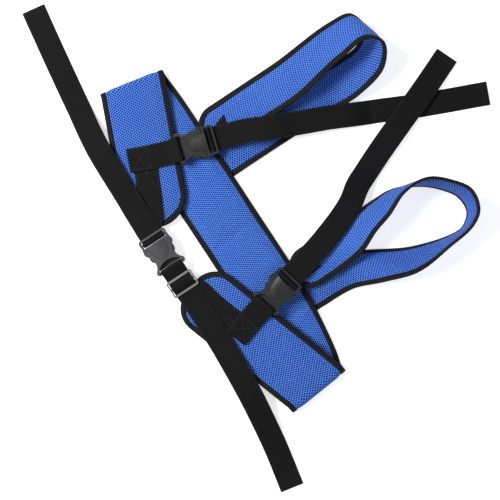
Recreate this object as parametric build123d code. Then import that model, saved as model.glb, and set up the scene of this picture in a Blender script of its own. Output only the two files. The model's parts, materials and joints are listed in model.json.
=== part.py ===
from build123d import *
import os
from math import cos, radians, sin, tan

# Gait belt with two leg loops, laid on a table with its front side up.
# X runs along the back panel towards the wearer's right, Y towards the leg loops, Z up.
# Lengths are in millimetres and angles in degrees.

# ---- belt pad and leg pads -------------------------------------------------------------
belt_width = 100.0          # over the binding
back_left = 323.0           # middle of the left fold, from the stitched centre of the back
back_right = 246.0          # middle of the right fold
mesh_thickness = 1.0        # one face of air mesh
belt_foam = 4.0
leg_foam = 3.0
ply_gap = 0.1               # between two plies that are sewn together
tape_thickness = 0.8        # binding tape
tape_cover = 10.0           # how far the binding reaches over each face
flap_left = 226.0           # straight length of each front flap, fold to tongue
flap_right = 249.0
tongue_radius = 38.0
flap_heading_left = -23.0   # plan direction of each flap, from its fold
flap_heading_right = 198.0
back_heading_right = -10.0  # the panel turns this much before its right fold
panel_bend_start = 60.0     # where it has turned half of that, and all of it
panel_bend_end = 160.0
fold_radius_left = 5.0      # of the pad's middle surface
fold_radius_right = 9.0
flap_slope_right = 2.0      # the right flap comes down towards its tongue
lap_depth = 20.0            # a leg pad's seam allowance under the belt's edge
lap_squeeze = 0.3           # thickness left where the foam is trimmed out of that seam
leg_width = 65.0
leg_reach_left = 292.0      # how far each leg loop stands out from the belt's edge
leg_reach_right = 281.0
leg_x_left = -177.0         # near edge of each leg pad along the belt
leg_x_right = 72.0
leg_tip_radius = 30.0
leg_overhang = 10.0         # how far a leg pad's free end lies over the belt
leg_end_height = 14.6       # middle surface of that end
seam_lift = 2.6             # the belt's edge lies this much higher over a leg pad's seam
seam_margin = 5.0           # and it does so this far each side of the leg pad

# ---- webbing and hardware --------------------------------------------------------------
webbing_width = 38.0
webbing_thickness = 1.5
lay_gap = 0.3               # between webbing and what it lies on or passes
sewn_gap = 0.25             # between webbing and the pad it is sewn to
slot_clearance = 0.8        # each side of the webbing in a slot
release_travel = 30.0
shell_height = 11.5         # female moulding, bottom to top
shell_wall = 2.0
shell_length = 44.0
shell_bevel = 0.8
dome_radius = 260.0         # of the shell's top, across its width
ear_half = 25.0
neck_half = 17.5
shoulder_half = 24.6
mouth_half = 19.5           # half the width between the latch walls
latch_catch = 2.0           # how far an arm's shoulder hooks behind the latch wall
latch_x = 32.5              # rear face of the latch walls
arm_thickness = 3.4
arm_pivot_x = 45.8
arm_squeeze = 9.5           # degrees that each arm gives when it is pinched
shield_tip_x = 19.5
shield_half = 15.5
play = 0.3                  # between the male and female mouldings
frame_length = 19.0         # adjuster frame behind the mouth
frame_rail = 3.8
frame_height = 5.0
frame_low = 3.8             # underside of the adjuster frame above the shell's base
bar_length = 3.0            # size of the gripping bar along the webbing
bar_height = 2.5
end_bar_length = 3.6
loop_bar_radius = 2.1       # bar that the fixed webbing is looped round
loop_bar_x = 3.2
slider_length = 27.5
slider_height = 2.5
slider_drop = 2.3           # the middle bar lies this much lower than the end bars

up = Vector(0, 0, 1)
flat_within = 1e-6          # corners this near to a plane make a flat face


def plan(angle):
    return Vector(cos(radians(angle)), sin(radians(angle)), 0)


# ---- strips of pad ---------------------------------------------------------------------
# A station is (centre, across, outward, width factor, thickness factor).


def pad_half(foam):
    return foam / 2 + ply_gap + mesh_thickness


def bound_half(foam):
    return pad_half(foam) + ply_gap + tape_thickness


def ring(station, outline):
    """Points of an outline of (across, outward) pairs set out at a station."""
    centre, across, outward, wide, thick = station
    return [centre + across * (y * wide) + outward * (h * thick) for y, h in outline]


def panel_face(a, b, c, d):
    """Face between four corners: flat where they lie in a plane, and else ruled."""
    twist = (b - a).cross(d - a).normalized().dot(c - a)
    if abs(twist) < flat_within:
        return Face(Wire.make_polygon([a, b, c, d], close=True))
    return Face.make_bezier_surface([[a, b], [d, c]])


def skin(stations, outline):
    """Solid through an outline at each station, with straight lines between stations."""
    rings = [ring(s, outline) for s in stations]
    caps = [Face(Wire.make_polygon(r, close=True)) for r in (rings[0], rings[-1])]
    sides = []
    for near, far in zip(rings, rings[1:]):
        for i in range(len(outline)):
            sides.append(panel_face(near[i - 1], near[i], far[i], far[i - 1]))
    return Solid(Shell(caps + sides))


def tongue(end, half, inset, low, high, run_in=0.0):
    """Flat end of a strip: a plate with two rounded corners, drawn in the plane of the end."""
    plane, length, radius, skew = end
    y = half - inset
    x = length - inset
    sheet = Polygon(
        (-skew * y - run_in, -y), (x, -y), (x, y), (skew * y - run_in, y), align=None
    )
    sheet = fillet(sheet.vertices().sort_by(Axis.X)[-2:], radius - inset)
    return plane.location * (Pos(0, 0, low) * extrude(sheet, high - low))


def ply(stations, ends, width, low, high):
    """One layer of a strip, between two heights from the strip's middle surface."""
    inset = tape_thickness + ply_gap
    half = width / 2 - inset
    solid = skin(stations, [(-half, low), (half, low), (half, high), (-half, high)])
    for end in ends:
        solid += tongue(end, width / 2, inset, low, high)
    return solid


def binding(stations, ends, width, foam):
    """Tape folded over both edges of a strip and round its rounded ends."""
    outer = bound_half(foam)
    inner = outer - tape_thickness
    rim = width / 2
    section = [
        (rim - tape_cover, outer),
        (rim, outer),
        (rim, -outer),
        (rim - tape_cover, -outer),
        (rim - tape_cover, -inner),
        (rim - tape_thickness, -inner),
        (rim - tape_thickness, inner),
        (rim - tape_cover, inner),
    ]
    tape = skin(stations, section)
    tape += skin(stations, [(-y, h) for y, h in section])
    for end in ends:
        hoop = tongue(end, rim, 0, -outer, outer)
        hoop -= tongue(end, rim, tape_thickness, -inner, inner, 1)
        hoop -= tongue(end, rim, tape_cover, -outer - 1, outer + 1, 1)
        tape += hoop
    return tape


# ---- belt ------------------------------------------------------------------------------
belt_level = bound_half(belt_foam)


def fold(crest, heading, flap_heading, radius, slope):
    """Stations round a fold, and the flat end that leaves it."""
    line = plan((heading + flap_heading) / 2)
    if line.Y < 0:
        line = line * -1
    outwards = plan(heading) - line * plan(heading).dot(line)
    along = outwards.length
    outwards = outwards.normalized()
    axis = crest - outwards * (radius + bound_half(belt_foam)) + up * (belt_level + radius)
    wide = 1 / abs(along)
    stations = []
    turn = 180 + slope
    for step in range(7):
        roll = radians(turn * step / 6)
        outward = outwards * sin(roll) - up * cos(roll)
        stations.append((axis + outward * radius, line, outward, wide, 1))
    leaving = outwards * cos(radians(turn)) + up * sin(radians(turn))
    ahead = line * plan(heading).dot(line) + leaving * along
    plane = Plane(stations[-1][0], x_dir=ahead, z_dir=stations[-1][2])
    skew = line.dot(plane.x_dir) / line.dot(plane.y_dir)
    return stations, plane, skew


def panel_middle(x):
    """The panel's middle line, straight on the left and easing round on the right."""
    if x <= panel_bend_start:
        return 0.0
    full = tan(radians(back_heading_right))
    if x <= panel_bend_end:
        return full / 2 * (x - panel_bend_start)
    return full / 2 * (panel_bend_end - panel_bend_start) + full * (x - panel_bend_end)


def panel_station(x, lift):
    """The panel across its width, with its leg-side edge lifted."""
    turn = 0 if x <= panel_bend_start else back_heading_right / 2
    tilt = lift / belt_width
    side = plan(90 + turn)
    across = (side + up * tilt).normalized()
    outward = across.cross(side.cross(up)).normalized()
    if outward.Z > 0:
        outward = outward * -1
    centre = Vector(x, panel_middle(x), belt_level + lift / 2)
    return (centre, across, outward, 1, 1)


left_crest = Vector(-back_left, -1.5, 0)
right_crest = Vector(back_right, panel_middle(back_right), 0)
left_fold, left_plane, left_skew = fold(
    left_crest, 180, flap_heading_left, fold_radius_left, 0
)
right_fold, right_plane, right_skew = fold(
    right_crest, back_heading_right, flap_heading_right, fold_radius_right, flap_slope_right
)
leg_edges = [leg_x_left, leg_x_right]
panel = [panel_station(-back_left + 70, 0)]
for near in leg_edges:
    panel.append(panel_station(near - seam_margin, seam_lift))
    panel.append(panel_station(near + leg_width + seam_margin, seam_lift))
    if near < 0:
        panel.append(panel_station(near + leg_width + 60, 0))
        panel.append(panel_station(leg_x_right - 50, 0))
panel.append(panel_station(back_right - 50, 0))
belt_stations = left_fold[::-1] + panel + right_fold
belt_ends = [
    (left_plane, flap_left, tongue_radius, left_skew),
    (right_plane, flap_right, tongue_radius, right_skew),
]


def belt_pad():
    face = belt_foam / 2 + ply_gap
    return {
        "belt_foam": ply(belt_stations, belt_ends, belt_width, -belt_foam / 2, belt_foam / 2),
        "belt_outer_mesh": ply(
            belt_stations, belt_ends, belt_width, face, face + mesh_thickness
        ),
        "belt_lining_mesh": ply(
            belt_stations, belt_ends, belt_width, -face - mesh_thickness, -face
        ),
        "belt_binding": binding(belt_stations, belt_ends, belt_width, belt_foam),
    }


# ---- leg pads --------------------------------------------------------------------------
leg_level = bound_half(leg_foam)
belt_edge = belt_width / 2

# Near edge of the pad and the direction across it, from the seam out, round the tip and back.
# Distances from the belt's edge are shares of the loop's reach.
left_loop = [
    ((0, -lap_depth / leg_reach_left, leg_level * lap_squeeze), (1, 0, 0)),
    ((0, 0.004, leg_level * lap_squeeze), (1, 0, 0)),
    ((0, 0.035, leg_level), (1, 0, 0)),
    ((0, 0.68, leg_level), (1, 0, 0.01)),
    ((3, 0.80, leg_level), (1, 0.05, 0.3)),
    ((-2, 0.93, 9), (1, 0.13, 0.72)),
    ((-20, 0.985, 19), (1, 0.02, 1.15)),
    ((-41, 0.965, 30), (1, -0.22, 0.9)),
    ((-48, 0.86, 36), (1, -0.36, 0.52)),
    ((-45, 0.53, 26), (1, -0.06, 0.22)),
    ((-46, 0.35, 16.5), (1, 0.02, 0.08)),
    ((-46, 0.20, 15), (1, 0, 0.02)),
    ((-46, 0.08, leg_end_height), (1, 0, 0)),
]
right_loop = [
    ((0, -lap_depth / leg_reach_right, leg_level * lap_squeeze), (1, 0, 0)),
    ((0, 0.0, leg_level * lap_squeeze), (1, 0, 0)),
    ((0, 0.035, leg_level), (1, 0, 0)),
    ((2, 0.23, leg_level), (1, 0, 0.03)),
    ((26, 0.395, leg_level), (1, -0.05, 0.6)),
    ((57, 0.60, leg_level), (1, -0.38, 1.5)),
    ((80, 0.83, leg_level), (0.21, -0.38, 1)),
    ((82, 0.93, leg_level), (0.15, 0.05, 1)),
    ((68, 1.0, leg_level), (0.1, 0.13, 1)),
    ((39, 0.99, leg_level), (-0.04, 0.16, 1)),
    ((14, 0.935, leg_level), (-0.1, 0.12, 1)),
    ((-9, 0.845, leg_level), (-0.1, 0.08, 1)),
    ((-29, 0.695, leg_level), (0.21, 0.06, 1)),
    ((-31, 0.575, leg_level), (0.54, 0.07, 1)),
    ((-31, 0.465, leg_level), (0.83, 0.04, 1)),
    ((-31, 0.37, leg_level + 1), (1, -0.02, 0.57)),
    ((-32, 0.20, 10), (1, 0.02, 0.14)),
    ((-32, 0.10, leg_end_height), (1, 0, 0)),
]


def leg_stations(near_x, reach, rows):
    """Stations of a leg pad from rows of near edge and direction across."""
    centres = []
    sides = []
    for (x, share, z), side in rows:
        side = Vector(*side).normalized()
        edge = Vector(near_x + x, belt_edge + share * reach, z)
        centres.append(edge + side * (leg_width / 2))
        sides.append(side)
    stations = []
    last = len(rows) - 1
    for i, side in enumerate(sides):
        heading = centres[min(i + 1, last)] - centres[max(i - 1, 0)]
        outward = up if i == last else heading.cross(side).normalized()
        thick = lap_squeeze if i < 2 else 1
        stations.append((centres[i], side, outward, 1, thick))
    return stations


def leg_pad(side, near_x, reach, rows):
    stations = leg_stations(near_x, reach, rows)
    centre = stations[-1][0]
    length = centre.Y - belt_edge + leg_overhang
    plane = Plane(centre, x_dir=(0, -1, 0), z_dir=(0, 0, 1))
    ends = [(plane, length, leg_tip_radius, 0)]
    face = leg_foam / 2 + ply_gap
    return {
        f"{side}_leg_foam": ply(stations, ends, leg_width, -leg_foam / 2, leg_foam / 2),
        f"{side}_leg_outer_mesh": ply(stations, ends, leg_width, face, face + mesh_thickness),
        f"{side}_leg_lining_mesh": ply(stations, ends, leg_width, -face - mesh_thickness, -face),
        f"{side}_leg_binding": binding(stations, ends, leg_width, leg_foam),
    }


# ---- webbing ---------------------------------------------------------------------------


def webbing(points):
    """Flat webbing along points of its middle line, square across its plan direction."""
    points = [Vector(*p) for p in points]
    steps = [(b - a).normalized() for a, b in zip(points, points[1:])]
    sides = []
    for step in steps:
        side = up.cross(step)
        if side.length < 0.2:
            side = sides[-1] if sides else None
        elif sides and side.dot(sides[-1]) < 0:
            side = side * -1
        sides.append(side.normalized() if side else None)
    first = next(s for s in sides if s)
    sides = [s or first for s in sides]
    steps = [steps[0]] + steps + [steps[-1]]
    sides = [sides[0]] + sides + [sides[-1]]
    stations = []
    for i, centre in enumerate(points):
        heading = (steps[i] + steps[i + 1]).normalized()
        side = (sides[i] + sides[i + 1]).normalized()
        mitre = 1 / heading.dot(steps[i])
        stations.append((centre, side, heading.cross(side).normalized(), 1, mitre))
    y = webbing_width / 2
    h = webbing_thickness / 2
    return skin(stations, [(-y, -h), (y, -h), (y, h), (-y, h)])


# ---- side-release buckle ---------------------------------------------------------------
# x runs from the female's ears to the male's end bar, y across, z up from the shell's base.

slot_half = webbing_width / 2 + slot_clearance
frame_half = slot_half + frame_rail
base_x = shell_length + play
base_length = 4.0
frame_x = base_x + base_length
end_x = shell_length + frame_length
end_bar_x = end_x - end_bar_length
grip_bar_x = (frame_x + end_bar_x - bar_length) / 2
slide_height = shell_height - 2 * shell_wall
arm_half_gap = mouth_half - latch_catch - arm_thickness - 1.1


def symmetric_face(points):
    """Face inside a smooth curve through points and the same curve mirrored in the x axis."""
    near = Spline(*points)
    far = Spline(*[(x, -y) for x, y in reversed(points)])
    ends = [Line(points[-1], (points[-1][0], -points[-1][1]))]
    if points[0][1] > 0:
        ends.append(Line((points[0][0], -points[0][1]), points[0]))
    return make_face([near, far] + ends)


def shell_outline():
    return symmetric_face([
        (0, ear_half - 3.6),
        (2.2, ear_half - 0.6),
        (5.5, ear_half),
        (10, ear_half - 3.2),
        (15, neck_half + 1.2),
        (22, neck_half),
        (28, neck_half + 1.3),
        (latch_x, mouth_half + 1.2),
        (38, shoulder_half),
        (shell_length, shoulder_half - 0.3),
    ])


def shield_outline(grow):
    """Thumb shape of the male's top tongue."""
    tip = shield_tip_x - grow
    half = shield_half + grow
    return symmetric_face([
        (tip, 0.01),
        (tip + 1.3, half * 0.28),
        (tip + 5.5, half * 0.58),
        (tip + 14, half * 0.84),
        (tip + 24, half * 0.96),
        (frame_x, half),
    ])


def female():
    """Shell with a thumb notch, open sides, latch walls and a looped bar between two ears."""
    shell = extrude(shell_outline(), shell_height)
    dome = Pos(0, 0, shell_height - dome_radius) * Rot(0, 90, 0) * Cylinder(dome_radius, 200)
    shell = chamfer((shell & dome).edges().filter_by(GeomType.LINE, reverse=True), shell_bevel)
    cavity_x = 18.5
    cavity = Pos(cavity_x, 0, shell_wall) * Box(
        shell_length, 2 * mouth_half, slide_height, align=(Align.MIN, Align.CENTER, Align.MIN)
    )
    cavity = fillet(cavity.edges().filter_by(Axis.Z).sort_by(Axis.X)[:2], 4)
    notch = Pos(0, 0, shell_wall + 1) * extrude(shield_outline(play + 0.1), shell_height)
    arch_foot = loop_bar_x + loop_bar_radius + webbing_thickness + 1.0
    slot = make_face([
        ThreePointArc((arch_foot, -slot_half), (16, 0), (arch_foot, slot_half)),
        Line((arch_foot, slot_half), (arch_foot, -slot_half)),
    ])
    mouth = Pos(-2, 0, -1) * Box(
        arch_foot + 2, 2 * slot_half, shell_height + 2, align=(Align.MIN, Align.CENTER, Align.MIN)
    )
    window = Pos(cavity_x, 0, shell_wall) * Box(
        latch_x - cavity_x, 4 * neck_half, slide_height, align=(Align.MIN, Align.CENTER, Align.MIN)
    )
    shell -= cavity + notch + mouth + window
    shell -= Pos(0, 0, -1) * extrude(slot, shell_height + 2)
    bar = Cylinder(loop_bar_radius, 2 * slot_half + 2, rotation=(90, 0, 0))
    return shell + Pos(loop_bar_x, 0, loop_bar_level) * bar


loop_bar_level = 2.1 + loop_bar_radius + 0.2
loop_radius = loop_bar_radius + 0.2 + webbing_thickness / 2


def frame_outline():
    return Pos(frame_x - 1, 0, 0) * Rectangle(
        end_x - frame_x + 1, 2 * frame_half, align=(Align.MIN, Align.CENTER)
    )


def male():
    """Guide tongue and thumb shield on a base, with a ladder frame behind it."""
    centre_align = (Align.MIN, Align.CENTER, Align.MIN)
    base_low = shell_wall + play
    base = Pos(base_x, 0, base_low) * Box(
        base_length, 2 * shoulder_half - 0.6, shell_height - base_low - 1.0, align=centre_align
    )
    base = fillet(base.edges().filter_by(Axis.Z).sort_by(Axis.X)[-2:], 1.5)
    frame = Pos(0, 0, frame_low) * extrude(frame_outline(), frame_height)
    frame = fillet(frame.edges().filter_by(Axis.Z).sort_by(Axis.X)[-2:], 4)
    frame = fillet(frame.faces().sort_by(Axis.Z)[-1].edges().sort_by(Axis.X)[1:], 0.9)
    window = Pos(frame_x + 0.6, 0, 0) * Box(
        end_bar_x - frame_x - 0.6, 2 * slot_half, 2 * shell_height, align=centre_align
    )
    frame -= window
    grip = Pos(grip_bar_x, 0, frame_low) * Box(
        bar_length, 2 * slot_half + 2, bar_height, align=centre_align
    )
    grip = fillet(grip.edges().filter_by(Axis.Y), 0.8)
    guide = Pos(23, 0, shell_wall + play + 0.6) * Box(
        base_x + 1 - 23, 5, slide_height - 2 * play - 1.2, align=centre_align
    )
    guide = chamfer(guide.edges().filter_by(Axis.Z).sort_by(Axis.X)[:2], 1.5)
    shield = Pos(0, 0, shell_wall + slide_height + play - 0.1) * extrude(shield_outline(0), 8)
    crown = Pos(frame_x, 0, 2.6 - 40) * Rot(0, -93, 0) * Cylinder(
        51, 80, align=(Align.CENTER, Align.CENTER, Align.CENTER)
    )
    shield = shield & crown
    rib = Pos(23.5, 0, shell_height - 4) * Box(base_x - 22, 1.6, 2.2, align=centre_align)
    body = base + frame + grip + guide + rib + shield
    for side in (-1, 1):
        socket = Pos(arm_pivot_x, side * arm_y, 0) * Cylinder(
            arm_thickness / 2 + 0.25, 3 * shell_height
        )
        throat = Pos(arm_pivot_x, side * arm_y, shell_height / 2) * Box(
            8, arm_thickness + 1.6, slide_height, align=(Align.MAX, Align.CENTER, Align.CENTER)
        )
        body -= (socket & Pos(arm_pivot_x, 0, shell_height / 2) * Box(60, 80, slide_height)) + throat
    return body


arm_y = arm_half_gap + arm_thickness / 2


def arm(side):
    """Spring arm with a finger lobe that stands out of the shell's open side."""
    inner = arm_half_gap
    outer = arm_half_gap + arm_thickness
    catch = mouth_half + latch_catch
    rear = latch_x - play
    profile = make_face([
        Polyline((arm_pivot_x, outer), (rear, outer + 0.4), (rear, catch)),
        Spline(
            (rear, catch),
            (rear - 5, catch + 0.2),
            (rear - 9.5, catch - 2.2),
            (rear - 11.5, outer - 0.6),
            (rear - 10.2, inner + 0.6),
        ),
        Polyline((rear - 10.2, inner + 0.6), (rear - 5, inner), (arm_pivot_x, inner)),
        Line((arm_pivot_x, inner), (arm_pivot_x, outer)),
    ])
    for rib in range(4):
        groove = Pos(rear - 2.2 - 1.6 * rib, catch + 0.45 - 0.07 * rib**2.2) * Circle(0.55)
        profile -= groove
    beam = extrude(profile, slide_height - 2 * play)
    beam += Pos(arm_pivot_x, arm_y, 0) * Cylinder(
        arm_thickness / 2, slide_height - 2 * play, align=(Align.CENTER, Align.CENTER, Align.MIN)
    )
    beam = Pos(0, 0, shell_wall + play) * beam
    return beam if side > 0 else mirror(beam, Plane.XZ)


def slider():
    """Three-bar slide with its middle bar set low."""
    half = slot_half + 2.6
    plate = extrude(Rectangle(slider_length, 2 * half), slider_height)
    plate = fillet(plate.edges().filter_by(Axis.Z), 3)
    plate = fillet(plate.faces().sort_by(Axis.Z)[-1].edges(), 0.8)
    opening = Box(slider_length - 7, 2 * slot_half, 3 * slider_height)
    plate -= opening
    middle = Pos(0, 0, slider_height / 2 - slider_drop) * Box(3.6, 2 * slot_half + 3, slider_height)
    middle = fillet(middle.edges().filter_by(Axis.Y), 0.9)
    return plate + middle


# ---- where the hardware lies -----------------------------------------------------------


def buckle_plane(end_bar, heading, level):
    """Local frame of a buckle whose end bar lies at a place and points along a heading."""
    axis = plan(heading)
    origin = Vector(end_bar[0], end_bar[1], level) - axis * end_x
    return Plane(origin, x_dir=axis, z_dir=(0, 0, 1))


left_flap_top = left_plane.origin.Z + bound_half(belt_foam)


def right_flap_top(x):
    """Height of the right flap's binding at a distance from its fold."""
    return right_plane.origin.Z + bound_half(belt_foam) - x * sin(radians(flap_slope_right))


waist_y = -belt_edge - 58.0
waist_buckle = buckle_plane((-105.0, waist_y), 180, left_flap_top - 0.2)
left_buckle = buckle_plane((-174.0, belt_edge + 9), 73, left_flap_top + 0.3)
right_buckle = buckle_plane((69.5, belt_edge - 10), 103, right_flap_top(118) + 0.6)
buckles = {"waist": waist_buckle, "left_leg": left_buckle, "right_leg": right_buckle}
slider_x = -14.0
slider_level = waist_buckle.origin.Z + 3.6

under = lay_gap + webbing_thickness / 2                 # webbing right under a part's base
second = under + webbing_thickness + 0.2                # a second layer on top of it
over_grip = frame_low + bar_height + 0.15 + webbing_thickness / 2
slot_in_x = (frame_x + 0.6 + grip_bar_x) / 2
slot_out_x = (grip_bar_x + bar_length + end_bar_x) / 2


def fed_strap(plane, route):
    """Load webbing along a route, under the end bar and up to the gripping bar."""
    lift = [(end_x, 0, under), (slot_in_x + 1.0, 0, under), (slot_in_x, 0, under + 1.2)]
    top = [(slot_in_x, 0, frame_low + 0.6)]
    local = [plane.from_local_coords(Vector(*p)) for p in lift + top]
    return webbing(list(route) + local)


def tail(plane, route):
    """Free end of the webbing: over the gripping bar, under the end bar and along a route."""
    thread = [
        (slot_in_x, 0, frame_low + 1.0),
        (slot_in_x + 0.5, 0, over_grip - 0.6),
        (grip_bar_x + 0.6, 0, over_grip),
        (grip_bar_x + bar_length - 0.4, 0, over_grip),
        (slot_out_x - 0.4, 0, over_grip - 0.9),
        (slot_out_x + 0.5, 0, second + 0.9),
        (end_bar_x + 0.4, 0, second),
        (end_x + 1, 0, second),
    ]
    local = [plane.from_local_coords(Vector(*p)) for p in thread]
    start = plane.from_local_coords(Vector(end_x, 0, second))
    return webbing(local + [Vector(start.X + x, start.Y + y, z) for x, y, z in route])


def bar_loop(plane):
    """Points of webbing turned round the female's bar, in from below and out on top."""
    r = loop_radius
    turns = [radians(30 * step - 90) for step in range(7)]
    loop = [(loop_bar_x + r * cos(a), 0, loop_bar_level + r * sin(a)) for a in turns]
    loop.append((loop_bar_x - 5, 0, loop_bar_level + r - 0.8))
    return [plane.from_local_coords(Vector(*p)) for p in loop]


def anchor(plane, back):
    """Short strap looped round the female's bar, with both ends sewn flat on a flap."""
    low = loop_bar_level - loop_radius
    second_low = low + webbing_thickness + 0.2
    start = plane.from_local_coords(Vector(back, 0, low))
    end = [(-13, 0, second_low + 0.3), (back, 0, second_low)]
    return webbing([start] + bar_loop(plane) + [plane.from_local_coords(Vector(*p)) for p in end])


floor = webbing_thickness / 2 + 0.05
flap_sewn = pad_half(belt_foam) + sewn_gap + webbing_thickness / 2
flap_edge = bound_half(belt_foam) + sewn_gap + webbing_thickness / 2
left_lay = left_flap_top + 0.7 + lay_gap + webbing_thickness


def on_flap(plane, x, y, height):
    return plane.from_local_coords(Vector(x, y, height))


def waist_strap_left():
    route = [
        on_flap(left_plane, 120, -6, flap_sewn),
        on_flap(left_plane, flap_left - 34, -11, flap_sewn),
        on_flap(left_plane, flap_left - 21, -12, flap_edge),
    ]
    bar = waist_buckle.from_local_coords(Vector(end_x + 4, 0, under))
    return fed_strap(waist_buckle, route + [bar])


def waist_tail_left():
    z = left_lay + 0.5
    route = [(-8, 0.4, z), (-67, 5.5, z), (-157, 7, z), (-190, 10, 11), (-228, 15, floor)]
    return tail(waist_buckle, route + [(-310, 27, floor), (-400, 41, floor)])


def waist_strap_right():
    """Sewn on the right flap, through the slider, round the female's bar and back over it."""
    lower = slider_level - webbing_thickness * 1.5 - 0.5
    upper = lower + webbing_thickness + 0.2
    crest = slider_level + slider_height - slider_drop + webbing_thickness / 2 + 0.3
    reach = slider_length / 2
    here = [
        on_flap(right_plane, 134, 0, flap_sewn),
        on_flap(right_plane, flap_right - 28, -1, flap_sewn),
        on_flap(right_plane, flap_right - 16, -2, flap_edge),
    ]
    wave = [(reach + 1, lower), (reach - 4, lower), (2.4, crest), (-2.4, crest)]
    wave += [(4 - reach, lower), (-reach - 1, lower)]
    here += [(slider_x + x, waist_y, z) for x, z in wave]
    here += bar_loop(waist_buckle)
    lap = webbing_thickness + 0.2
    here += [(slider_x + x, waist_y, z + lap) for x, z in wave[::-1]]
    sink = sin(radians(flap_slope_right))
    z = right_flap_top(flap_right) + 0.7 + lay_gap + webbing_thickness
    here += [(12, waist_y + 1, z + 12 * sink), (95, waist_y + 3, z + 100 * sink)]
    here += [(196, waist_y - 6.5, z + 208 * sink), (226, waist_y - 11, 16)]
    here += [(286, waist_y - 20, floor), (350, waist_y - 33, floor)]
    return webbing(here)


def leg_strap(plane, cut_end, top):
    """Webbing sewn on a leg pad's free end, from its cut end to the buckle."""
    level = leg_end_height + bound_half(leg_foam) + ply_gap + webbing_thickness / 2
    near = plane.from_local_coords(Vector(end_x + 7, 0, under))
    route = [Vector(cut_end[0], cut_end[1], level + top), Vector(near.X, near.Y + 4, level)]
    return fed_strap(plane, route)


def left_leg_tail():
    z = left_buckle.origin.Z + second
    route = [(4, 12, z + 0.3), (14, 42, z + 3.6), (33, 80, z + 9.5), (49, 118, 23.5)]
    route += [(70, 168, 18), (87, 204, 13), (98, 229, floor), (131, 297, floor), (175, 399, floor)]
    return tail(left_buckle, route)


def right_leg_tail():
    z = right_buckle.origin.Z + second
    hump = 5 * webbing_thickness
    route = [(-5, 20, z), (-20, 78, z), (-42, 138, z - 4), (-58, 165, 13), (-68, 188, 6)]
    route += [(-82, 218, hump), (-137, 352, hump), (-155, 397, floor)]
    return tail(right_buckle, route)


def build():
    pieces = {}
    pieces.update(belt_pad())
    pieces.update(leg_pad("left", leg_x_left, leg_reach_left, left_loop))
    pieces.update(leg_pad("right", leg_x_right, leg_reach_right, right_loop))
    shell = female()
    insert = male()
    arms = {"near": arm(1), "far": arm(-1)}
    for name, plane in buckles.items():
        pieces[f"{name}_female_buckle"] = plane.location * shell
        pieces[f"{name}_male_buckle"] = plane.location * insert
        for side, spring in arms.items():
            pieces[f"{name}_{side}_arm"] = plane.location * spring
    pieces["waist_slider"] = Pos(slider_x, waist_y, slider_level) * slider()
    pieces["waist_strap_left"] = waist_strap_left()
    pieces["waist_tail_left"] = waist_tail_left()
    pieces["waist_strap_right"] = waist_strap_right()
    pieces["left_leg_anchor_strap"] = anchor(left_buckle, -74)
    pieces["right_leg_anchor_strap"] = anchor(right_buckle, -61)
    pieces["left_leg_strap"] = leg_strap(left_buckle, (-181, belt_edge + 35), 0.9)
    pieces["right_leg_strap"] = leg_strap(right_buckle, (63, belt_edge + 34), 0.4)
    pieces["left_leg_tail"] = left_leg_tail()
    pieces["right_leg_tail"] = right_leg_tail()
    return pieces


def centring(pieces):
    """Move that puts the origin under the middle of the whole outline, on the table."""
    box = Compound(children=[Compound(p.wrapped) for p in pieces.values()]).bounding_box()
    return Pos(-box.center().X, -box.center().Y, -box.min.Z)


pieces = build()
home = centring(pieces)
os.makedirs("parts", exist_ok=True)
for name, piece in pieces.items():
    export_step(home * piece, f"parts/{name}.step")
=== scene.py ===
import json
from math import atan2, cos, exp, hypot, pi, radians, sin, sqrt, tan

import bpy
import numpy as np
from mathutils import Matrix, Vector


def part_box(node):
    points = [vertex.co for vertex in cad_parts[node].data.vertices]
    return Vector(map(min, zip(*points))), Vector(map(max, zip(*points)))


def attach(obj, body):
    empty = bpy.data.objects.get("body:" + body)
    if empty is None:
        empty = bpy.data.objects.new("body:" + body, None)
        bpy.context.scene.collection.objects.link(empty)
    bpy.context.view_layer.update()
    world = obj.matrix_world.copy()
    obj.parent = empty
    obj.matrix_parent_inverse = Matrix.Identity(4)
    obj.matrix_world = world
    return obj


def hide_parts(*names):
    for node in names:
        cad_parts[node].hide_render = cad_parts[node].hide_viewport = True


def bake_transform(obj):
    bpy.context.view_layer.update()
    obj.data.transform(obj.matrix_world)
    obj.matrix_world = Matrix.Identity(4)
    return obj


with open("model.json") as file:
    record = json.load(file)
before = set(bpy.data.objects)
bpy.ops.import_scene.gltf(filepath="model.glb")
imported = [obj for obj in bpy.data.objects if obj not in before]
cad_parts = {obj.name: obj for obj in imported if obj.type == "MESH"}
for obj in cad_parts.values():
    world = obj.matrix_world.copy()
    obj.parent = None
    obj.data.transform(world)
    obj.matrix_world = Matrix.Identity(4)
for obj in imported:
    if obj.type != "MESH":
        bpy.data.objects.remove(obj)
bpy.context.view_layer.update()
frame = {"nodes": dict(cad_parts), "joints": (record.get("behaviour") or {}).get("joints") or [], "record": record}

# ---- Camera, table and light -----------------------------------------------------------
# The belt lies spread on a pale table and is seen from straight above, turned so that the
# waist buckle is at the left. A soft box, a weaker one facing it and the room give even light.
rest_face = frame["record"]["mounts"][0]["pos_m"]
belt_centre = Vector((rest_face[0] + 0.015, rest_face[1] + 0.045, 0))
view_right = Vector((0.55, 0.835, 0)).normalized()
view_middle = belt_centre + Vector((0, 0.0085, 0))
camera_height = 1.5
seen_across = 0.79

lens = bpy.data.cameras.new("table_camera")
lens.sensor_width = 36
lens.lens = 36 * camera_height / seen_across
lens.clip_start = 0.05
camera = bpy.data.objects.new("table_camera", lens)
bpy.context.scene.collection.objects.link(camera)
camera.location = view_middle + Vector((0, 0, camera_height))
camera.rotation_euler = (0, 0, atan2(view_right.y, view_right.x))
bpy.context.scene.camera = camera


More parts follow.
